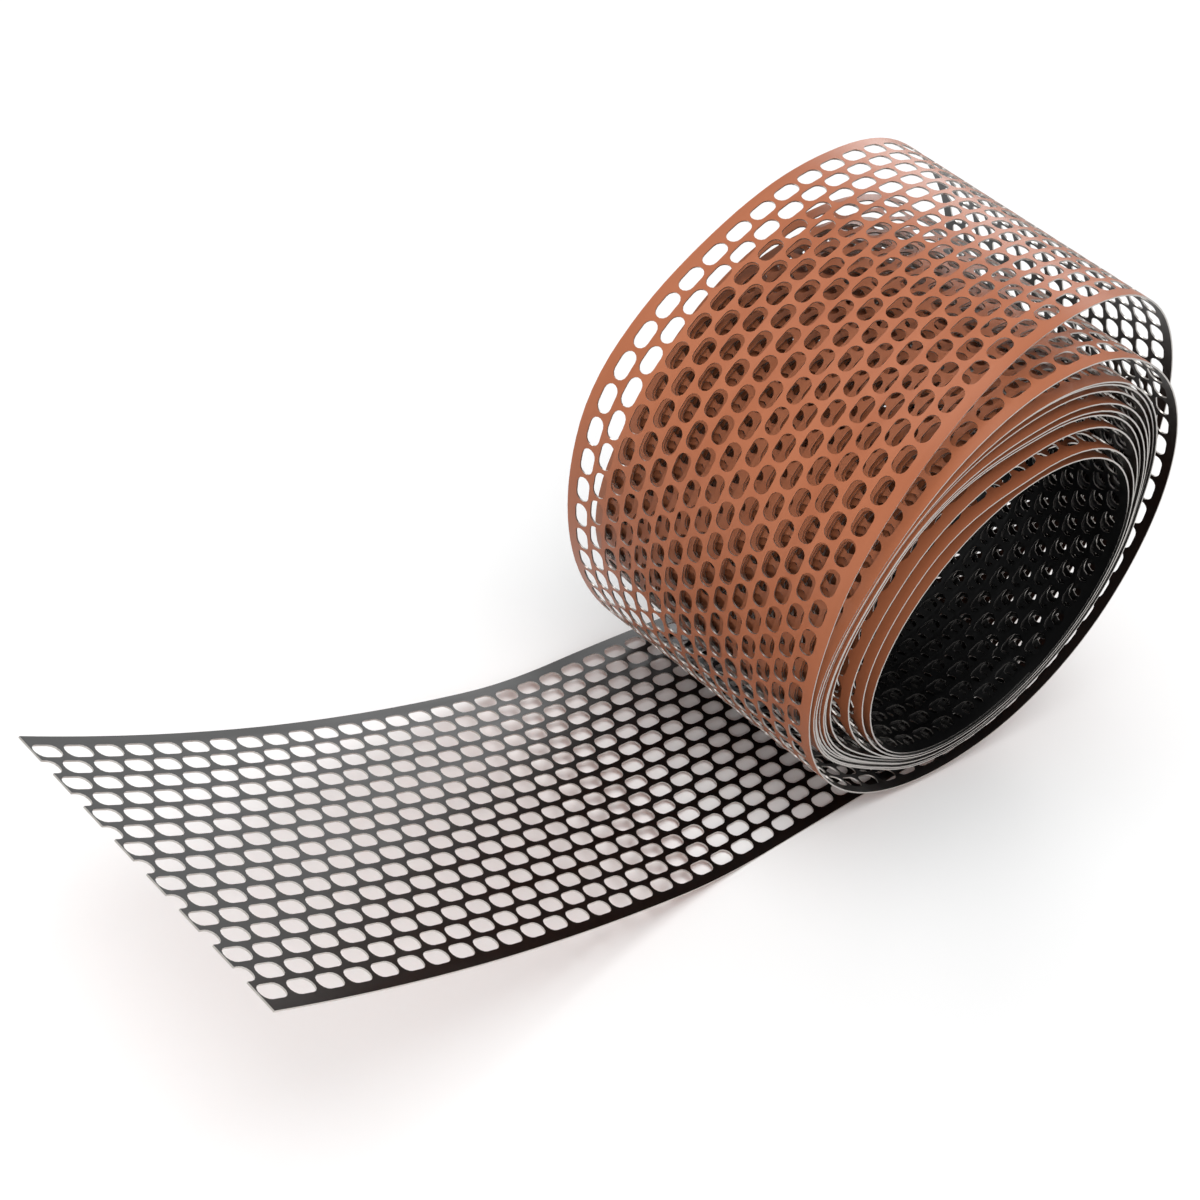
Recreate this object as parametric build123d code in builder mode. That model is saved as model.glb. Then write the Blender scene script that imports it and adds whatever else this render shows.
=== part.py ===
from build123d import *
import math
import os

# Eaves bird guard: one strip of perforated sheet, wound into a roll with its end sprung open.
# Millimetres, +Z up. The roll's axis lies along Y, and the free end rises to the left, towards -X.

# the strip
strip_width = 100.0
sheet = 0.5
hole_length = 9.0
hole_width = 5.0
hole_flat = 6.0            # straight side of a hole, between its rounded ends
hole_tip = 0.4             # the blunt tip of a rounded end, as a share of the width
pitch_along = 10.5
pitch_across = 6.3
least_margin = 2.0         # the plain metal left along each edge is at least this wide

# the wound core, whose turns fan out above and press together below
turns = 9
turn_wall = 0.7            # each turn's wall, which stands for the sheet and its burrs
bore_radius = 57.5
core_radius = 72.5         # the core's outer turn
core_left = 6.0            # how far its centre lies left of the bore's centre
core_up = 19.0             # and how far above it
pressed_radius = 62.5      # the core where its turns press together,
pressed_from = 202.0       # from this direction, counted from +X,
pressed_to = 372.0         # round the bottom and on to this one

# the two loose turns, followed outwards from the core: (radius, degrees) of each arc
leave_angle = 139.0        # where the strip leaves the core, from +X
inner_turn = [
    (102.0, 17.0),
    (70.0, 71.0),
    (93.0, 88.0),
    (66.0, 57.0),
    (96.0, 98.0),
]
outer_turn = [
    (134.0, 9.0),
    (80.0, 35.0),
    (82.0, 54.0),
    (103.0, 52.0),
    (103.0, 62.0),
    (60.0, 44.0),
    (126.0, 26.0),
]
outer_drift = 0.085        # the outer turn drifts back by this much for each millimetre to the right

# the free end: a twisted stretch, a bend and a straight run up to the cut
twist_length = 80.0
tail_turn = 4.7            # how far the tail's rulings turn in plan
tail_lean = 2.7            # and how far their far end is raised
tail_shift = -1.1          # the tail starts this much further back than the core's middle
bend_radius = 127.0
bend_angle = 18.7
tail_columns = 17          # whole pitches in the straight run

# at rest the roll has turned about its axis until the tail's near edge meets the floor
rest_roll = -23.63

half_width = strip_width / 2
hole_rows = int((strip_width - 2 * least_margin) // pitch_across)
tail_length = tail_columns * pitch_along

# where the turns press together: a sector round the bore, out to the core's own outline
reach = 2 * core_radius
sector_parts = 4
corners = [(0, 0)]
for step in range(sector_parts + 1):
    direction = math.radians(pressed_from + (pressed_to - pressed_from) * step / sector_parts)
    corners.append((reach * math.cos(direction), reach * math.sin(direction)))
with BuildSketch() as pressed:
    Circle(pressed_radius)
    with Locations((-core_left, core_up)):
        Circle(core_radius)
    Polygon(*corners, align=None, mode=Mode.INTERSECT)

# the core: rings one inside the other, open between them where the turns part
with BuildPart() as core:
    with BuildSketch(Plane.XZ):
        inner = bore_radius + turn_wall
        for turn in range(turns - 1):
            share = 1 - turn / (turns - 1)
            radius = inner + (core_radius - inner) * share
            with Locations((-core_left * share, core_up * share)):
                Circle(radius)
                Circle(radius - turn_wall, mode=Mode.SUBTRACT)
        add(pressed.sketch)
        Circle(inner)
        Circle(bore_radius, mode=Mode.SUBTRACT)
    extrude(amount=half_width, both=True)


def face_line(start, tangent, arcs, side):
    """Tangent arcs along one face of the sheet: side 1 is the outer face, -1 the inner one."""
    point = start + side * sheet / 2 * Vector(-tangent.Y, tangent.X)
    for radius, angle in arcs:
        arc = JernArc(start=point, tangent=tangent, radius=radius + side * sheet / 2, arc_size=-angle)
        point = arc @ 1
        tangent = arc % 1
    return point, tangent


def sheet_section(start, tangent, arcs):
    """The sheet's section along a chain of arcs, and the middle and direction of its far end."""
    first = Vector(-tangent.Y, tangent.X) * sheet / 2
    with BuildSketch(mode=Mode.PRIVATE) as section:
        with BuildLine():
            outer_end, end_tangent = face_line(start, tangent, arcs, 1)
            inner_end, _ = face_line(start, tangent, arcs, -1)
            Line(start + first, start - first)
            Line(outer_end, inner_end)
        make_face()
    return section.sketch, (outer_end + inner_end) / 2, end_tangent


# the inner loose turn, from the middle of the core's outer wall
leave = math.radians(leave_angle)
seam_radius = core_radius - turn_wall / 2
point = Vector(seam_radius * math.cos(leave) - core_left, seam_radius * math.sin(leave) + core_up)
tangent = Vector(math.sin(leave), -math.cos(leave))
section, point, tangent = sheet_section(point, tangent, inner_turn)
with BuildPart() as inner_loose:
    with BuildSketch(Plane.XZ):
        add(section)
    extrude(amount=half_width, both=True)

# the outer loose turn, whose two edges drift back to the right
left_point = Vector(point.X, 0, point.Y)
edge_normal = Vector(-outer_drift, 1, 0).normalized()
section, point, tangent = sheet_section(point, tangent, outer_turn)
with BuildPart() as outer_loose:
    with BuildSketch(Plane.XZ):
        add(section)
    extrude(amount=strip_width, both=True)
    for side in (-1, 1):
        edge = Plane(origin=left_point + Vector(0, side * half_width, 0), z_dir=side * edge_normal)
        split(bisect_by=edge, keep=Keep.BOTTOM)

# the frame at the loose turns' outer end, and the tail's own frame beyond the twist
outward = Vector(tangent.X, 0, tangent.Y)
drift = outer_drift * (point.X - left_point.X)
low_point = Vector(point.X, drift, point.Y)
ruling = Vector(0, 1, 0).rotate(Axis.X, tail_lean).rotate(Axis.Z, tail_turn)
tail_start = Vector(point.X, tail_shift, point.Y) + outward * twist_length
tail_outward = (outward - ruling * outward.dot(ruling)).normalized()
low_plane = Plane(origin=low_point, x_dir=Vector(0, 1, 0), z_dir=outward)
tail_plane = Plane(origin=tail_start, x_dir=ruling, z_dir=tail_outward)

# the twist between them
with BuildPart() as twist:
    for end_plane in (low_plane, tail_plane):
        with BuildSketch(end_plane):
            Rectangle(strip_width, sheet)
    loft(ruled=True)

# the bend, drawn in the plane across the tail's rulings
across = Plane(origin=tail_start, x_dir=tail_outward, z_dir=-ruling)
section, point, tangent = sheet_section(Vector(0, 0), Vector(1, 0), [(bend_radius, bend_angle)])
with BuildPart() as bend:
    with BuildSketch(across):
        add(section)
    extrude(amount=half_width, both=True)
run_start = across.from_local_coords(point)
run_along = across.x_dir * tangent.X + across.y_dir * tangent.Y


def hole_wire(x, y):
    """One oblong hole, whose rounded ends are drawn as flats."""
    half_length, half_height = hole_length / 2, hole_width / 2
    corners = [(half_length, half_height * hole_tip), (hole_flat / 2, half_height)]
    right = [(x + u, y + v) for u, v in corners] + [(x - u, y + v) for u, v in corners[::-1]]
    left = [(2 * x - u, 2 * y - v) for u, v in right]
    return Wire.make_polygon([Vector(*corner) for corner in right + left])


def cut_end():
    """The outline of the straight run, whose free end is cut through every second row of holes."""
    tip, flat = hole_width / 2 * hole_tip, hole_flat / 2
    points = [(0, half_width), (0, -half_width), (tail_length, -half_width)]
    for row in range(1, hole_rows, 2):
        y = (row - (hole_rows - 1) / 2) * pitch_across
        notch = [(0, -hole_width / 2), (-flat, -hole_width / 2), (-hole_length / 2, -tip)]
        notch += [(u, -v) for u, v in notch[::-1]]
        points += [(tail_length + u, y + v) for u, v in notch]
    points.append((tail_length, half_width))
    return Wire.make_polygon([Vector(*corner) for corner in points])


# the straight run: its holes stand in staggered rows
run_plane = Plane(origin=run_start, x_dir=run_along, z_dir=run_along.cross(ruling))
holes = []
for row in range(hole_rows):
    first = (1 + row % 2) / 2
    y = (row - (hole_rows - 1) / 2) * pitch_across
    for column in range(tail_columns - row % 2):
        holes.append(hole_wire((first + column) * pitch_along, y))
with BuildPart() as run:
    with BuildSketch(run_plane.offset(-sheet / 2)):
        add(Face(cut_end(), holes))
    extrude(amount=sheet)

# the whole strip, one piece of stock, turned as it comes to rest
with BuildPart() as perforated_strip:
    for stretch in (core, inner_loose, outer_loose, twist, bend, run):
        add(stretch.part, rotation=(0, rest_roll, 0))

perforated_strip.part.label = "perforated_strip"
os.makedirs("parts", exist_ok=True)
export_step(perforated_strip.part, "parts/perforated_strip.step")
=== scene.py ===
# %% [markdown]
# # Eaves bird guard: a sprung coil of perforated strip
# The real thing is one long strip of painted aluminium, 100 mm wide and half a millimetre thick.
# It is punched all over with oblong holes, wound into a roll, and its free end has sprung open.
# The lesson follows the factory: a route for the strip, a flat punched sheet, the bend, the paint.
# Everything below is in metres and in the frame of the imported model, so nothing has to be fitted.

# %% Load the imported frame
import math
import bmesh
import bpy
import numpy as np
from mathutils import Matrix, Vector


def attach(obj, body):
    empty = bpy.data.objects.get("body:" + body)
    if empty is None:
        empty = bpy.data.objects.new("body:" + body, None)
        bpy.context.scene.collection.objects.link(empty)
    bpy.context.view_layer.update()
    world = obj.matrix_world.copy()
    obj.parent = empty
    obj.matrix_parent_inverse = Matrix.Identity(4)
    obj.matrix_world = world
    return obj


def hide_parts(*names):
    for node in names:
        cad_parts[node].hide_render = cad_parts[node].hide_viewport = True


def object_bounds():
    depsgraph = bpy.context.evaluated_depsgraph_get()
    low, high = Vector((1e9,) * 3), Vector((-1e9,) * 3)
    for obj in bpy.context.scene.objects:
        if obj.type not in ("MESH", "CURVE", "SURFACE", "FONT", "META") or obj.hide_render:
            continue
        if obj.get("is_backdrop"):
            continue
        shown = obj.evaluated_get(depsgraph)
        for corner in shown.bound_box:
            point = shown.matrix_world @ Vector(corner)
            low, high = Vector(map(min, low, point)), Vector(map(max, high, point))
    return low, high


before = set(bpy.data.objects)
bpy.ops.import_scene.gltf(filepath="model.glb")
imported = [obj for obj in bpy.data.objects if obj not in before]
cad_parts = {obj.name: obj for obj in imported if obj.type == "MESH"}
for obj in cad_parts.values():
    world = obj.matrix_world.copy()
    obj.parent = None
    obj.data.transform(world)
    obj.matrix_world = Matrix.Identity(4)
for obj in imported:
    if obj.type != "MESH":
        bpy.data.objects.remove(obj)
cad_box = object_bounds()
print("CAD box", [[round(value, 4) for value in corner] for corner in cad_box])

# %% [markdown]
# ## The route of the strip
# Seen from the near end, the strip starts in the bore, winds outwards clockwise, leaves the roll
# for two loose turns, and runs out to the left in a long tail. It could be drawn by hand as a
# curve, but wound stock follows rules, so the route is worked out from radii and angles.
# It is written in millimetres and turned to its resting place at the end.

# %% Sizes of the strip and of the roll, in millimetres and degrees
sheet = 0.5
strip_width = 100.0
pitch_along = 10.5
pitch_across = 6.3
hole_rows = 15
hole_length = 9.0
hole_width = 5.0
bore_radius = 57.5
core_radius = 72.15
core_centre = (-6.0, 19.0)
whole_turns = 9
turn_gap = 0.609
leave_angle = 139.0
inner_end = 295.5
rest_roll = math.radians(-23.63)
step = 1.0
per_metre = 1000
print("Strip", strip_width, "mm wide,", hole_rows, "rows of holes")

# %% [markdown]
# ## The wound core
# The turns lie tight against each other at the bottom and on the right, and fan out at the top.
# A plain spiral would show even rings. Here each turn takes its own share of the fan, as the
# uneven turns of a real roll do: the inner ones stand wide apart and the outer ones crowd
# together. The shares differ on the two sides of the roll, and the whole fan fades out where
# the roll is pressed together. The core's outline is a circle that swells a little on its left,
# and the first turn sags at the top of the bore.

# %% The outline of the core, and how its turns share the fan
left_shares = [0.0, 0.28, 0.55, 0.86, 0.91, 0.94, 0.96, 0.98, 1.0]
right_shares = [0.0, 0.03, 0.40, 0.57, 0.63, 0.72, 0.87, 0.96, 1.0]
blend_from = 0.1
blend_over = 0.7
swell_middle = 168
swell_reach = 38
swell_height = 5
sag_depth = 3
sag_turns = 1.2


def core_edge(direction):
    """How far the core's outer turn lies from the bore's centre, in one direction."""
    along_x, along_z = math.cos(direction), math.sin(direction)
    forward = core_centre[0] * along_x + core_centre[1] * along_z
    sideways = core_centre[0] * along_z - core_centre[1] * along_x
    round_edge = forward + math.sqrt(core_radius ** 2 - sideways ** 2)
    away = (math.degrees(direction) - swell_middle + 180) % 360 - 180
    if abs(away) >= swell_reach:
        return round_edge
    return round_edge + swell_height * math.cos(math.radians(away * 90 / swell_reach)) ** 2


def smoothed(rows, window):
    """The running mean of a row of numbers."""
    padded = np.pad(rows, window, mode="edge")
    return np.convolve(padded, np.ones(2 * window + 1) / (2 * window + 1), mode="valid")


def left_blend(direction):
    """One on the left side of the roll, nothing on its right, and a smooth change between."""
    blend = min(1.0, max(0.0, (blend_from - math.cos(direction)) / blend_over))
    return blend * blend * (3 - 2 * blend)


print("Core edge above the bore", round(core_edge(math.radians(90)), 1), "mm")


# %% The spiral of the core
mean_radius = 68
share_window = 0.12
fade_out = 2.0


def wound_core():
    """Middle-line points of the core from its inner end outwards, and how far each has turned."""
    start = math.radians(inner_end)
    leave_x = core_radius * math.cos(math.radians(leave_angle)) + core_centre[0]
    leave_z = core_radius * math.sin(math.radians(leave_angle)) + core_centre[1]
    turns = (start - math.atan2(leave_z, leave_x)) / (2 * math.pi) + whole_turns
    count = round(turns * 2 * math.pi * mean_radius / step)
    turn = np.linspace(0, turns, count)
    middles = np.arange(len(left_shares)) + 0.5
    window = round(share_window * count / turns)
    left_part = smoothed(np.interp(turn, middles, left_shares), window)
    right_part = smoothed(np.interp(turn, middles, right_shares), window)
    points = []
    for at, on_left, on_right in zip(turn, left_part, right_part):
        direction = start - 2 * math.pi * at
        blend = left_blend(direction)
        tight = bore_radius + sheet / 2 + turn_gap * at
        room = core_edge(direction) - (bore_radius + sheet / 2 + turn_gap * turns)
        fan = (room + math.sqrt(room ** 2 + fade_out ** 2)) / 2
        sag = sag_depth * max(0.0, math.sin(direction)) * max(0.0, 1 - (at / sag_turns) ** 2)
        radius = tight + fan * (blend * on_left + (1 - blend) * on_right) - sag
        points.append((radius * math.cos(direction), radius * math.sin(direction)))
    return np.array(points), turn


core_line, core_turn = wound_core()
print("Core:", round(core_turn[-1], 2), "turns, ends at", core_line[-1].round(1))

# %% [markdown]
# ## The loose turns and the tail
# Sprung sheet takes gentle curves that change from place to place, so each loose turn is a chain
# of arcs, each one starting in the direction in which the last one ended. A spline through a few
# points would do too, but arcs keep every radius a plain number that can be compared.

# %% Chains of arcs
inner_turn = [(102, 17), (70, 71), (93, 88), (66, 57), (96, 98)]
outer_turn = [(134, 9), (80, 35), (82, 54), (103, 52), (103, 62), (60, 44), (126, 26)]


def follow(point, heading, arcs):
    """Points along a chain of arcs that curl to the right, and the direction at its end."""
    points = []
    x, z = point
    for radius, angle in arcs:
        turned = math.radians(angle)
        count = max(2, round(turned * radius / step))
        centre_x, centre_z = x + radius * math.sin(heading), z - radius * math.cos(heading)
        for number in range(1, count + 1):
            now = heading - turned * number / count
            points.append((centre_x - radius * math.sin(now), centre_z + radius * math.cos(now)))
        heading -= turned
        x, z = points[-1]
    return np.array(points), heading


inner_line, heading = follow(core_line[-1], math.radians(leave_angle - 90), inner_turn)
outer_line, heading = follow(inner_line[-1], heading, outer_turn)
print("Loose turns end at", outer_line[-1].round(1), "heading", round(math.degrees(heading) % 360, 1))

# %% The tail, drawn in the plane across its own rulings
tail_lean = math.radians(3.2)
tail_turn = math.radians(4.0)
tail_shift = 1.2
twist_length = 76.0
tail_arcs = [(192, 12.9), (800, 12.8)]
tail_ruling = Matrix.Rotation(tail_turn, 3, "Z") @ Matrix.Rotation(tail_lean, 3, "X") @ Vector((0, 1, 0))
outward = Vector((math.cos(heading), 0, math.sin(heading)))
tail_outward = (outward - tail_ruling * outward.dot(tail_ruling)).normalized()
tail_up = (-tail_ruling).cross(tail_outward)
tail_flat, _ = follow((0.0, 0.0), 0.0, tail_arcs)
low_x, low_z = outer_line[-1]
tail_start = Vector((low_x, tail_shift, low_z)) + outward * twist_length
tail_line = [tail_start + tail_outward * u + tail_up * v for u, v in tail_flat]
print("Free end at", [round(value, 1) for value in tail_line[-1]])

# %% [markdown]
# ## From middle line to sheet
# A line alone doesn't say how the sheet faces. Each point of the route also carries two
# directions: one across the strip and one out of its painted face. Along the roll the strip's
# rulings lie level, and in the twist they turn over to those of the tail. Only the outer loose
# turn is no plain cylinder: it sags on top, and on the left its far edge stands further out.
# Both are given in millimetres at a few places round the roll, as degrees wound.


# %% The outer loose turn sags and leans
def unit(rows):
    """Directions of length one."""
    return rows / np.linalg.norm(rows, axis=1)[:, None]


loose_line = np.vstack([inner_line, outer_line])
degrees_wound = -np.degrees(np.unwrap(np.arctan2(loose_line[:, 1], loose_line[:, 0])))
sag_places = [114, 146, 160, 180, 200, 214, 227, 240, 253, 265, 280, 300, 315]
moved_out = [0, 3, 2, 1.5, 1.4, 1.2, -0.3, -4.5, -7.5, -7.5, -6, -1, 0]
far_less_near = [0, 7, 6, 7, 10, 13.6, 15, 10, 4, 0, -1, 0, 0]
sag_window = 12
set_out = smoothed(np.interp(degrees_wound, sag_places, moved_out), sag_window)
leaning = smoothed(np.interp(degrees_wound, sag_places, far_less_near), sag_window) / strip_width
loose_line = loose_line + unit(loose_line) * set_out[:, None]
inner_line, outer_line = loose_line[:len(inner_line)], loose_line[len(inner_line):]
print("Lean of the rulings, largest", round(float(leaning.max()), 3))

# %% [markdown]
# No roll is wound quite true, so the strip also drifts along the roll's axis. The turns of the
# core wander by about half a millimetre to either side, and the outer loose turn runs askew.

# %% The whole route, with its directions
wander = 0.56
wander_rate = 1.82
wander_start = 1.4
askew = 0.085
askew_end = 2.0
left_x = inner_line[-1][0]
outer_share = np.linspace(0, 1, len(outer_line))
outer_drift = askew * (outer_line[:, 0] - left_x) + askew_end * outer_share ** 3
core_drift = wander * np.sin(wander_rate * core_turn + wander_start)
inner_drift = core_drift[-1] * np.linspace(1, 0, len(inner_line))
twist_count = round(twist_length / step)
share = np.arange(1, twist_count + 1) / twist_count
low = np.array([low_x, outer_drift[-1], low_z])
twist_line = low + share[:, None] * (np.array(tail_start) - low)


def level(line, drift):
    """A flat line of (x, z) points set out in space, each shifted along the roll by its drift."""
    return np.column_stack([line[:, 0], drift, line[:, 1]])


middle = np.vstack([
    level(core_line, core_drift),
    level(inner_line, inner_drift),
    level(outer_line, outer_drift),
    twist_line,
    np.array([tuple(point) for point in tail_line]),
])
roll_count = len(core_line) + len(inner_line) + len(outer_line)
tail_share = np.zeros(len(middle))
tail_share[roll_count:roll_count + twist_count] = share * share * (3 - 2 * share)
tail_share[roll_count + twist_count:] = 1
lean = np.zeros(len(middle))
lean[len(core_line):roll_count] = leaning
drift_window = 25
running = np.ones(2 * drift_window + 1) / (2 * drift_window + 1)
padded = np.pad(middle[:, 1], drift_window, mode="reflect", reflect_type="odd")
middle[:, 1] = np.convolve(padded, running, mode="valid")
print("Route of", len(middle), "points")

# %% Even steps and clean directions
lengths = np.concatenate([[0], np.cumsum(np.linalg.norm(np.diff(middle, axis=0), axis=1))])
columns = int(lengths[-1] // pitch_along)
total = columns * pitch_along
places = np.linspace(lengths[-1] - total, lengths[-1], int(total / step) + 1)
middle = np.column_stack([np.interp(places, lengths, middle[:, k]) for k in range(3)])
tail_share = np.interp(places, lengths, tail_share)
lean = np.interp(places, lengths, lean)
travel = unit(np.gradient(middle, axis=0))
out_of_roll = unit(middle * np.array([1.0, 0.0, 1.0])) * lean[:, None]
guide = (1 - tail_share)[:, None] * np.array([0.0, 1.0, 0.0]) + out_of_roll
guide = guide + tail_share[:, None] * np.array(tail_ruling)
across = unit(guide - travel * (guide * travel).sum(1)[:, None])
facing = np.cross(travel, across)
turn_to_rest = np.array(Matrix.Rotation(rest_roll, 3, "Y")).T
middle, across, facing = middle @ turn_to_rest, across @ turn_to_rest, facing @ turn_to_rest
loose_column = int(round((lengths[len(core_line)] - (lengths[-1] - total)) / pitch_along))
print("Strip", round(total / per_metre, 3), "m long:", columns, "columns of holes")
print("Of these,", loose_column, "columns lie in the core")

# %% Where the route would dip below the floor, the floor lifts the strip
floor_z = cad_box[0].z
lift_reach = 60
lowest = middle[:, 2] - strip_width / 2 * np.abs(across[:, 2])
dip = np.maximum(0, floor_z * per_metre + sheet / 2 - lowest)
spans = [dip[max(0, k - lift_reach):k + lift_reach + 1] for k in range(len(dip))]
near_dip = np.array([span.max() for span in spans])
lift = smoothed(near_dip, lift_reach)
middle[:, 2] += lift
print("The floor lifts the strip by up to", round(float(lift.max()), 2), "mm")

# %% The route as an edge line that carries its directions
route_mesh = bpy.data.meshes.new("strip_route")
route_mesh.from_pydata(
    [tuple(point) for point in middle / per_metre],
    [(k, k + 1) for k in range(len(middle) - 1)],
    [],
)
for name, rows in (("across", across), ("facing", facing)):
    attribute = route_mesh.attributes.new(name, "FLOAT_VECTOR", "POINT")
    attribute.data.foreach_set("vector", rows.astype(np.float32).ravel())
route = bpy.data.objects.new("strip_route", route_mesh)
bpy.context.scene.collection.objects.link(route)
print("Route object has", len(route_mesh.vertices), "points")

# %% [markdown]
# ## One hole and the metal round it
# The sheet is a grid of the same small plate, each with an oblong hole whose ends are half round.
# The hole could be cut with a Boolean, but seven thousand of them would be slow and ragged.
# A plate that already has its hole costs a few dozen triangles, and its rim is always clean.
# Its top and bottom edges have a point in the middle, because the next row is half a pitch on.


# %% The punched plate
plate_weld = 1e-6


def punched_plate(name, end_steps):
    """A flat plate, one pitch by one row, with an oblong hole; end_steps divides each round end."""
    plate = bmesh.new()
    half_x, half_y = pitch_along / 2, pitch_across / 2
    radius = hole_width / 2
    straight = hole_length / 2 - radius
    for side in (1, -1):
        rim = [(0, radius)]
        for number in range(end_steps + 1):
            angle = math.pi / 2 - math.pi * number / end_steps
            rim.append((straight + radius * math.cos(angle), radius * math.sin(angle)))
        rim.append((0, -radius))
        outline = rim + [(0, -half_y), (half_x, -half_y), (half_x, half_y), (0, half_y)]
        # both halves are drawn the same way round
        if side == 1:
            outline = outline[::-1]
        corners = [(side * x / per_metre, y / per_metre, 0) for x, y in outline]
        plate.faces.new([plate.verts.new(corner) for corner in corners])
    bmesh.ops.triangulate(plate, faces=plate.faces[:], ngon_method="BEAUTY")
    bmesh.ops.remove_doubles(plate, verts=plate.verts[:], dist=plate_weld)
    for face in plate.faces:
        if face.normal.z < 0:
            face.normal_flip()
    mesh = bpy.data.meshes.new(name)
    plate.to_mesh(mesh)
    plate.free()
    return bpy.data.objects.new(name, mesh)


fine_plate = punched_plate("fine_plate", end_steps=7)
plain_plate = punched_plate("plain_plate", end_steps=4)
for plate in (fine_plate, plain_plate):
    bpy.context.scene.collection.objects.link(plate)
print("Plates of", len(fine_plate.data.polygons), "and", len(plain_plate.data.polygons), "faces")

# %% [markdown]
# ## Paint outside, black inside, bare metal where it is cut
# Coil-coated strip is painted flat, before it is punched and slit. So the faces carry paint and
# every cut shows aluminium. Three materials say exactly that. The pattern of each follows the
# sheet through an attribute with the place on the flat strip, so it bends with the metal.


# %% Materials
pattern_low = 0.3
pattern_high = 0.7


def finish(name, colour, roughness, metallic=0.0):
    """A material with its Principled shader and the flat-strip place that its patterns read."""
    material = bpy.data.materials.new(name)
    material.use_nodes = True
    nodes = material.node_tree.nodes
    shader = nodes["Principled BSDF"]
    shader.inputs["Base Color"].default_value = (*colour, 1)
    shader.inputs["Roughness"].default_value = roughness
    shader.inputs["Metallic"].default_value = metallic
    place = nodes.new("ShaderNodeAttribute")
    place.attribute_name = "strip_place"
    return material, nodes, material.node_tree.links, shader, place


def cloudy(nodes, links, place, stretch, scale, detail=3.0):
    """Noise on the flat strip, drawn out along it."""
    mapping = nodes.new("ShaderNodeMapping")
    mapping.inputs["Scale"].default_value = stretch
    links.new(place.outputs["Vector"], mapping.inputs["Vector"])
    noise = nodes.new("ShaderNodeTexNoise")
    noise.inputs["Scale"].default_value = scale
    noise.inputs["Detail"].default_value = detail
    links.new(mapping.outputs["Vector"], noise.inputs["Vector"])
    return noise


def between(nodes, links, source, low_value, high_value, target):
    """Spreads the middle part of a pattern's range over two values of a socket."""
    spread = nodes.new("ShaderNodeMapRange")
    spread.inputs["From Min"].default_value = pattern_low
    spread.inputs["From Max"].default_value = pattern_high
    spread.inputs["To Min"].default_value = low_value
    spread.inputs["To Max"].default_value = high_value
    links.new(source, spread.inputs["Value"])
    links.new(spread.outputs["Result"], target)


def tinted(nodes, links, source, first, second, target):
    """Blends two colours by a pattern."""
    ramp = nodes.new("ShaderNodeValToRGB")
    ramp.color_ramp.elements[0].position = pattern_low
    ramp.color_ramp.elements[1].position = pattern_high
    ramp.color_ramp.elements[0].color = (*first, 1)
    ramp.color_ramp.elements[1].color = (*second, 1)
    links.new(source, ramp.inputs["Fac"])
    links.new(ramp.outputs["Color"], target)


def grained(nodes, links, source, shader, strength, depth):
    """Fine relief from a pattern."""
    bump = nodes.new("ShaderNodeBump")
    bump.inputs["Strength"].default_value = strength
    bump.inputs["Distance"].default_value = depth
    links.new(source, bump.inputs["Height"])
    links.new(bump.outputs["Normal"], shader.inputs["Normal"])


terracotta, nodes, links, shader, place = finish("terracotta_paint", (0.42, 0.135, 0.062), 0.36)
shader.inputs["Coat Weight"].default_value = 0.1
shader.inputs["Coat Roughness"].default_value = 0.25
shader.inputs["Specular IOR Level"].default_value = 0.28
drawn = cloudy(nodes, links, place, stretch=(1, 8, 1), scale=14)
redder, paler = (0.37, 0.116, 0.051), (0.425, 0.142, 0.065)
tinted(nodes, links, drawn.outputs["Fac"], redder, paler, shader.inputs["Base Color"])
between(nodes, links, drawn.outputs["Fac"], 0.31, 0.42, shader.inputs["Roughness"])
peel = cloudy(nodes, links, place, stretch=(1, 1, 1), scale=900)
grained(nodes, links, peel.outputs["Fac"], shader, strength=0.08, depth=0.0002)

black_coat, nodes, links, shader, place = finish("black_backing_coat", (0.002, 0.002, 0.0022), 0.32)
shader.inputs["Specular IOR Level"].default_value = 0.36
drawn = cloudy(nodes, links, place, stretch=(1, 10, 1), scale=16)
darker, lighter = (0.0012, 0.0012, 0.0013), (0.0025, 0.0026, 0.0028)
tinted(nodes, links, drawn.outputs["Fac"], darker, lighter, shader.inputs["Base Color"])
between(nodes, links, drawn.outputs["Fac"], 0.28, 0.38, shader.inputs["Roughness"])
peel = cloudy(nodes, links, place, stretch=(1, 1, 1), scale=700)
grained(nodes, links, peel.outputs["Fac"], shader, strength=0.08, depth=0.0002)

cut_metal, nodes, links, shader, place = finish("cut_aluminium", (0.60, 0.57, 0.54), 0.34, metallic=1.0)
shear = cloudy(nodes, links, place, stretch=(400, 400, 60), scale=2, detail=2.0)
between(nodes, links, shear.outputs["Fac"], 0.26, 0.46, shader.inputs["Roughness"])
grained(nodes, links, shear.outputs["Fac"], shader, strength=0.15, depth=0.0001)
print("Materials:", terracotta.name, black_coat.name, cut_metal.name)

# %% [markdown]
# ## The punched strip by Geometry Nodes
# The tree works as the factory does. It lays the plates out in staggered rows, adds the plain
# margins, trims both ends straight through the holes, gives the sheet its thickness, and only
# then bends it along the route. Instances keep it light until the last moment, and bending flat
# work keeps every hole at its true size, however the strip curls.


# %% A small helper for building trees
def add_node(tree, kind, settings=None, **sockets):
    """Adds a node; _0, _1 and on give a value, or another node's output, to that input socket."""
    new = tree.nodes.new(kind)
    for name, value in (settings or {}).items():
        setattr(new, name, value)
    for name, value in sockets.items():
        number = int(name[1:])
        if isinstance(value, bpy.types.NodeSocket):
            tree.links.new(value, new.inputs[number])
        else:
            new.inputs[number].default_value = value
    return new


def maths(tree, operation, first, second):
    return add_node(tree, "ShaderNodeMath", {"operation": operation}, _0=first, _1=second).outputs[0]


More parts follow.
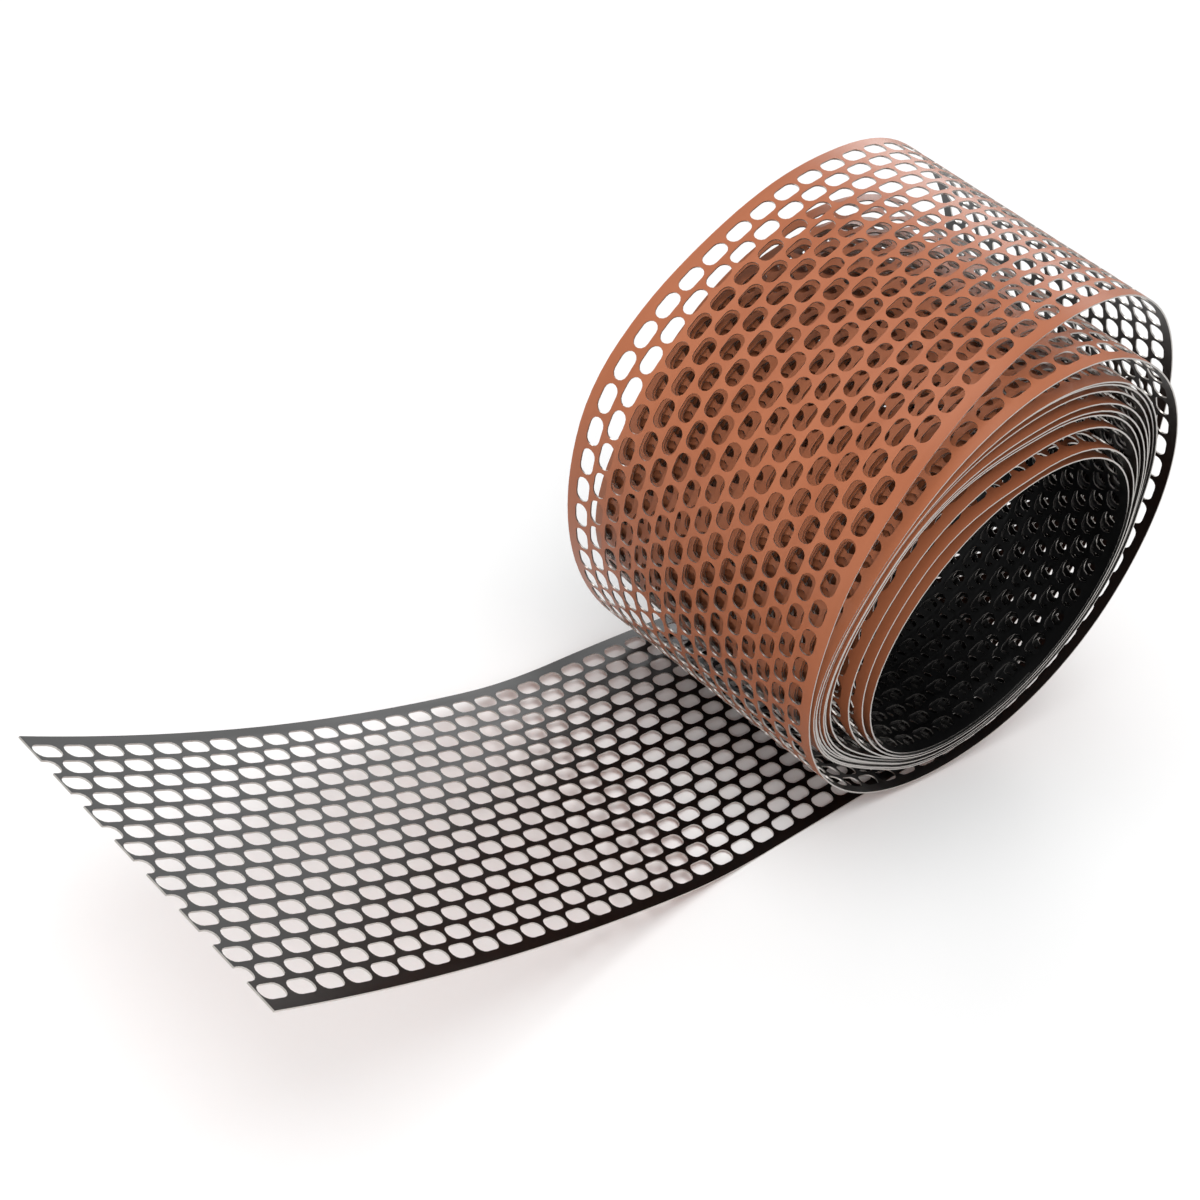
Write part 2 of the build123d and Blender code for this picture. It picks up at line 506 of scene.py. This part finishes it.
def new_tree(name, sockets):
    """An empty tree with named inputs."""
    tree = bpy.data.node_groups.new(name, "GeometryNodeTree")
    for label, kind in sockets:
        tree.interface.new_socket(label, in_out="INPUT", socket_type=kind)
    tree.interface.new_socket("Strip", in_out="OUTPUT", socket_type="NodeSocketGeometry")
    return tree


print("Helpers ready")

# %% The tree: plates in staggered rows
tree = new_tree("punched_strip", [
    ("Plate", "NodeSocketGeometry"),
    ("First column", "NodeSocketInt"),
    ("Last column", "NodeSocketInt"),
    ("Rows", "NodeSocketInt"),
    ("Pitch along", "NodeSocketFloat"),
    ("Pitch across", "NodeSocketFloat"),
    ("Strip width", "NodeSocketFloat"),
    ("Sheet", "NodeSocketFloat"),
    ("Route", "NodeSocketObject"),
    ("Outside", "NodeSocketMaterial"),
    ("Inside", "NodeSocketMaterial"),
    ("Cut", "NodeSocketMaterial"),
])
given = tree.nodes.new("NodeGroupInput").outputs
count = maths(tree, "SUBTRACT", given["Last column"], given["First column"])
posts = maths(tree, "ADD", count, 1.0)
start_x = maths(tree, "MULTIPLY", given["First column"], given["Pitch along"])
end_x = maths(tree, "MULTIPLY", given["Last column"], given["Pitch along"])
run_length = maths(tree, "SUBTRACT", end_x, start_x)
rows_less = maths(tree, "SUBTRACT", given["Rows"], 1.0)
rows_width = maths(tree, "MULTIPLY", rows_less, given["Pitch across"])
grid_sizes = {"_0": run_length, "_1": rows_width, "_2": posts, "_3": given["Rows"]}
grid = add_node(tree, "GeometryNodeMeshGrid", None, **grid_sizes)
post_number = tree.nodes.new("GeometryNodeInputIndex").outputs[0]
column = maths(tree, "FLOOR", maths(tree, "DIVIDE", post_number, given["Rows"]), 0.0)
row = maths(tree, "FLOORED_MODULO", post_number, given["Rows"])
odd = maths(tree, "MODULO", row, 2.0)
half_step = maths(tree, "SUBTRACT", 0.5, maths(tree, "MULTIPLY", odd, 0.5))
pitches = maths(tree, "ADD", column, half_step)
post_x = maths(tree, "ADD", start_x, maths(tree, "MULTIPLY", pitches, given["Pitch along"]))
from_middle = maths(tree, "SUBTRACT", row, maths(tree, "MULTIPLY", rows_less, 0.5))
post_y = maths(tree, "MULTIPLY", from_middle, given["Pitch across"])
post_place = add_node(tree, "ShaderNodeCombineXYZ", None, _0=post_x, _1=post_y)
laid = add_node(tree, "GeometryNodeSetPosition", None, _0=grid.outputs[0], _2=post_place.outputs[0])
plates = add_node(tree, "GeometryNodeInstanceOnPoints", None, _0=laid.outputs[0], _2=given["Plate"])
print("Plates laid out by", len(tree.nodes), "nodes")

# %% The tree: plain margins along both edges
sheet_weld = 1e-5
punched_width = maths(tree, "MULTIPLY", given["Rows"], given["Pitch across"])
margin_y = maths(tree, "DIVIDE", maths(tree, "SUBTRACT", given["Strip width"], punched_width), 2.0)
margin_posts = maths(tree, "ADD", maths(tree, "MULTIPLY", count, 2.0), 1.0)
margin = add_node(tree, "GeometryNodeMeshGrid", None, _0=run_length, _1=margin_y, _2=margin_posts, _3=2)
middle_x = maths(tree, "MULTIPLY", maths(tree, "ADD", start_x, end_x), 0.5)
edge_y = maths(tree, "MULTIPLY", maths(tree, "SUBTRACT", given["Strip width"], margin_y), 0.5)
margins = []
for side in (1.0, -1.0):
    side_y = maths(tree, "MULTIPLY", edge_y, side)
    shift = add_node(tree, "ShaderNodeCombineXYZ", None, _0=middle_x, _1=side_y)
    moved = add_node(tree, "GeometryNodeTransform", None, _0=margin.outputs[0])
    tree.links.new(shift.outputs[0], moved.inputs["Translation"])
    margins.append(moved.outputs[0])
flat = tree.nodes.new("GeometryNodeJoinGeometry")
for part in [plates.outputs[0]] + margins:
    tree.links.new(part, flat.inputs[0])
realized = add_node(tree, "GeometryNodeRealizeInstances", None, _0=flat.outputs[0])
welded = add_node(tree, "GeometryNodeMergeByDistance", None, _0=realized.outputs[0])
welded.inputs["Distance"].default_value = sheet_weld
print("Margins added")

# %% The tree: trim both ends, give the sheet its thickness
welded_place = tree.nodes.new("GeometryNodeInputPosition").outputs[0]
where = add_node(tree, "ShaderNodeSeparateXYZ", None, _0=welded_place)
before = maths(tree, "LESS_THAN", where.outputs[0], start_x)
beyond = maths(tree, "GREATER_THAN", where.outputs[0], end_x)
waste = maths(tree, "ADD", before, beyond)
trimmed = add_node(tree, "GeometryNodeDeleteGeometry", {"domain": "FACE"}, _0=welded.outputs[0], _1=waste)
half_sheet = maths(tree, "MULTIPLY", given["Sheet"], -0.5)
lowered = add_node(tree, "GeometryNodeSetPosition", None, _0=trimmed.outputs[0])
drop = add_node(tree, "ShaderNodeCombineXYZ", None, _2=half_sheet)
tree.links.new(drop.outputs[0], lowered.inputs["Offset"])
thick = add_node(tree, "GeometryNodeExtrudeMesh", {"mode": "FACES"}, _0=lowered.outputs[0])
tree.links.new(given["Sheet"], thick.inputs["Offset Scale"])
thick.inputs["Individual"].default_value = False
back = add_node(tree, "GeometryNodeFlipFaces", None, _0=lowered.outputs[0])
both = tree.nodes.new("GeometryNodeJoinGeometry")
for part in (thick.outputs["Mesh"], back.outputs[0]):
    tree.links.new(part, both.inputs[0])
solid = add_node(tree, "GeometryNodeMergeByDistance", None, _0=both.outputs[0])
solid.inputs["Distance"].default_value = sheet_weld
print("Sheet has its thickness")

# %% The tree: remember the flat place, then bend along the route
flat_place = tree.nodes.new("GeometryNodeInputPosition").outputs[0]
on_points = {"data_type": "FLOAT_VECTOR", "domain": "POINT"}
noted = add_node(tree, "GeometryNodeStoreNamedAttribute", on_points, _0=solid.outputs[0])
noted.inputs["Name"].default_value = "strip_place"
tree.links.new(flat_place, noted.inputs["Value"])
route_info = add_node(tree, "GeometryNodeObjectInfo", None, _0=given["Route"])
route_curve = add_node(tree, "GeometryNodeMeshToCurve", None, _0=route_info.outputs["Geometry"])


def sampled(name):
    """Reads one of the route's directions at the distance of each point along the strip."""
    reader = add_node(tree, "GeometryNodeInputNamedAttribute", {"data_type": "FLOAT_VECTOR"})
    reader.inputs["Name"].default_value = name
    sample = tree.nodes.new("GeometryNodeSampleCurve")
    sample.mode = "LENGTH"
    sample.data_type = "FLOAT_VECTOR"
    tree.links.new(route_curve.outputs[0], sample.inputs["Curves"])
    tree.links.new(reader.outputs["Attribute"], sample.inputs["Value"])
    tree.links.new(spot.outputs[0], sample.inputs["Length"])
    return sample


spot = add_node(tree, "ShaderNodeSeparateXYZ", None, _0=flat_place)
side_way, face_way = sampled("across"), sampled("facing")
sideways = add_node(tree, "ShaderNodeVectorMath", {"operation": "SCALE"}, _0=side_way.outputs["Value"])
tree.links.new(spot.outputs[1], sideways.inputs["Scale"])
outwards = add_node(tree, "ShaderNodeVectorMath", {"operation": "SCALE"}, _0=face_way.outputs["Value"])
tree.links.new(spot.outputs[2], outwards.inputs["Scale"])
adding = {"operation": "ADD"}
offset = add_node(tree, "ShaderNodeVectorMath", adding, _0=sideways.outputs[0], _1=outwards.outputs[0])
middle_spot = side_way.outputs["Position"]
target = add_node(tree, "ShaderNodeVectorMath", adding, _0=middle_spot, _1=offset.outputs[0])
bent = add_node(tree, "GeometryNodeSetPosition", None, _0=noted.outputs[0], _2=target.outputs[0])
smooth = add_node(tree, "GeometryNodeSetShadeSmooth", None, _0=bent.outputs[0])
whole = add_node(tree, "GeometryNodeRealizeInstances", None, _0=smooth.outputs[0])
setter = "GeometryNodeSetMaterial"
dark = add_node(tree, setter, None, _0=whole.outputs[0], _2=given["Inside"])
edged = add_node(tree, setter, None, _0=dark.outputs[0], _1=thick.outputs["Side"], _2=given["Cut"])
painted = add_node(tree, setter, None, _0=edged.outputs[0], _1=thick.outputs["Top"], _2=given["Outside"])
result = tree.nodes.new("NodeGroupOutput")
tree.links.new(painted.outputs[0], result.inputs[0])
print("Tree has", len(tree.nodes), "nodes")

# %% [markdown]
# ## Three lengths of one strip
# The strip is one piece of metal. It is made in three lengths only to keep each mesh easy to
# handle, and they meet edge to edge on the same route. The length in front, which the eye meets
# first, has rounder holes than the two that are wound up in the core.


# %% Run the tree for each length
sharp_angle = math.radians(40)


def strip_length(name, plate, first, last):
    """One length of the bent strip as a plain mesh."""
    piece = bpy.data.objects.new(name, plate.data.copy())
    bpy.context.scene.collection.objects.link(piece)
    modifier = piece.modifiers.new("punched_strip", "NODES")
    values = {
        "First column": first, "Last column": last, "Rows": hole_rows,
        "Pitch along": pitch_along / per_metre, "Pitch across": pitch_across / per_metre,
        "Strip width": strip_width / per_metre, "Sheet": sheet / per_metre, "Route": route,
        "Outside": terracotta, "Inside": black_coat, "Cut": cut_metal,
    }
    modifier.node_group = tree
    for item in tree.interface.items_tree:
        if item.in_out == "INPUT" and item.name in values:
            modifier[item.identifier] = values[item.name]
    piece.update_tag()
    bpy.context.view_layer.update()
    graph = bpy.context.evaluated_depsgraph_get()
    mesh = bpy.data.meshes.new_from_object(piece.evaluated_get(graph))
    piece.modifiers.clear()
    piece.data = mesh
    mesh.name = name
    # the tree leaves an empty slot in front of the three paints
    if mesh.materials[0] is None:
        mesh.materials.pop(index=0)
    mesh.set_sharp_from_angle(angle=sharp_angle)
    mesh.calc_loop_triangles()
    paints = [paint.name if paint else "none" for paint in mesh.materials]
    print(name, len(mesh.loop_triangles), "triangles,", paints)
    return piece


halfway = loose_column // 2
strip_pieces = [
    strip_length("loose_turns_and_tail", fine_plate, loose_column, columns),
    strip_length("wound_core_outer", plain_plate, halfway, loose_column),
    strip_length("wound_core_inner", plain_plate, 0, halfway),
]
for helper in (fine_plate, plain_plate, route):
    bpy.data.objects.remove(helper)

# %% [markdown]
# ## Hand the pieces to the frame
# The imported solid has the shape that a simulation needs. The punched strip stands for it in
# pictures and rides on the same body.

# %% Ride and replace
for piece in strip_pieces:
    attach(piece, "root")
    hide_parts("perforated_strip")
print("Pieces riding:", [piece.name for piece in strip_pieces])

# %% [markdown]
# ## Floor, light and camera
# The roll lies on a pale floor in soft studio light, so that both paints show as they are.
# Large lamps give the wide soft sheen that half-matt paint has. Through the Light Path node the
# floor and the air are brighter to the camera than to the roll, so the picture is white while
# the black coat keeps a low sheen. The floor still takes the roll's shadow.

# %% The floor
floor_half = 6
floor_to_roll = 0.80
floor_to_camera = 0.95
floor_mesh = bpy.data.meshes.new("studio_floor")
floor_signs = [(-1, -1), (1, -1), (1, 1), (-1, 1)]
floor_corners = [(x * floor_half, y * floor_half, floor_z) for x, y in floor_signs]
floor_mesh.from_pydata(floor_corners, [], [(0, 1, 2, 3)])
floor = bpy.data.objects.new("studio_floor", floor_mesh)
bpy.context.scene.collection.objects.link(floor)
floor_paint = bpy.data.materials.new("studio_white")
floor_paint.use_nodes = True
floor_shader = floor_paint.node_tree.nodes["Principled BSDF"]
nodes, links = floor_paint.node_tree.nodes, floor_paint.node_tree.links
floor_path = nodes.new("ShaderNodeLightPath")
floor_white = nodes.new("ShaderNodeMapRange")
floor_white.inputs["To Min"].default_value = floor_to_roll
floor_white.inputs["To Max"].default_value = floor_to_camera
links.new(floor_path.outputs["Is Camera Ray"], floor_white.inputs["Value"])
links.new(floor_white.outputs["Result"], floor_shader.inputs["Base Color"])
floor_shader.inputs["Roughness"].default_value = 0.9
floor_shader.inputs["Specular IOR Level"].default_value = 0.1
print("Floor at", round(floor_z, 4))

# %% Far from the roll the camera sees the floor fade into the white air
fade_from = 0.5
fade_to = 1.5
far_white = nodes.new("ShaderNodeEmission")
floor_place = nodes.new("ShaderNodeTexCoord")
how_far = nodes.new("ShaderNodeVectorMath")
how_far.operation = "LENGTH"
links.new(floor_place.outputs["Object"], how_far.inputs[0])
fade = nodes.new("ShaderNodeMapRange")
fade.interpolation_type = "SMOOTHSTEP"
fade.inputs["From Min"].default_value = fade_from
fade.inputs["From Max"].default_value = fade_to
links.new(how_far.outputs["Value"], fade.inputs["Value"])
links.new(floor_path.outputs["Is Camera Ray"], fade.inputs["To Max"])
blended = nodes.new("ShaderNodeMixShader")
links.new(fade.outputs["Result"], blended.inputs[0])
links.new(floor_shader.outputs[0], blended.inputs[1])
links.new(far_white.outputs[0], blended.inputs[2])
links.new(blended.outputs[0], nodes["Material Output"].inputs["Surface"])
floor_mesh.materials.append(floor_paint)
floor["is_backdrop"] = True
print("Floor dressed with", len(nodes), "nodes")

# %% The world and the lamps
air_to_roll = 0.55
air_to_camera = 1.0
world = bpy.data.worlds.new("studio_air")
bpy.context.scene.world = world
world.use_nodes = True
air = world.node_tree
background = air.nodes["Background"]
background.inputs["Color"].default_value = (1, 1, 1, 1)
light_path = air.nodes.new("ShaderNodeLightPath")
strength = air.nodes.new("ShaderNodeMapRange")
strength.inputs["To Min"].default_value = air_to_roll
strength.inputs["To Max"].default_value = air_to_camera
air.links.new(light_path.outputs["Is Camera Ray"], strength.inputs["Value"])
air.links.new(strength.outputs["Result"], background.inputs["Strength"])


def lamp(name, place, aim, size, power):
    """A square soft lamp at a place, aimed at a point."""
    data = bpy.data.lights.new(name, "AREA")
    data.shape = "SQUARE"
    data.size = size
    data.energy = power
    light = bpy.data.objects.new(name, data)
    light.location = place
    light.rotation_euler = (Vector(aim) - Vector(place)).to_track_quat("-Z", "Y").to_euler()
    bpy.context.scene.collection.objects.link(light)
    return light


lamp("key_lamp", place=(-0.5, -0.1, 1.5), aim=(0, 0, 0), size=1.2, power=15)
lamp("side_lamp", place=(-1.4, -1.2, 0.8), aim=(0, 0, 0), size=1.0, power=9)
lamp("back_lamp", place=(1.1, 1.0, 0.65), aim=(-0.25, 0, 0), size=0.8, power=5.8)
print("Three lamps and the air")

# %% [markdown]
# The camera stands where the photo was taken from. Its place and directions were solved from
# the rows of holes on the free end and the loose turns, which are evenly spaced on the strip.

# %% The camera
camera_place = (-0.4839, -0.2784, 0.3228)
camera_data = bpy.data.cameras.new("photo_camera")
camera_data.sensor_width = 36
camera_data.lens = 58.1
camera = bpy.data.objects.new("photo_camera", camera_data)
right = Vector((0.7293, -0.6380, 0.2471))
forward = Vector((0.6403, 0.5091, -0.5752)).normalized()
right = (right - forward * right.dot(forward)).normalized()
up = right.cross(forward)
turned = Matrix((right, up, -forward)).transposed()
camera.matrix_world = Matrix.Translation(camera_place) @ turned.to_4x4()
bpy.context.scene.collection.objects.link(camera)
bpy.context.scene.camera = camera
print("Camera at", [round(value, 3) for value in camera.location])

# %% [markdown]
# ## Last measurements
# The dressed model has to stay within the imported one, so both boxes are printed.

# %% Colour management, sizes, finish
bpy.context.scene.view_settings.view_transform = "Standard"
bpy.context.view_layer.update()
shown_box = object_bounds()
sizes = {
    "cad": [list(corner) for corner in cad_box],
    "visual": [list(corner) for corner in shown_box],
}
for name, box in sizes.items():
    rounded = [[round(value * per_metre, 1) for value in corner] for corner in box]
    print(name, "box in millimetres", rounded)
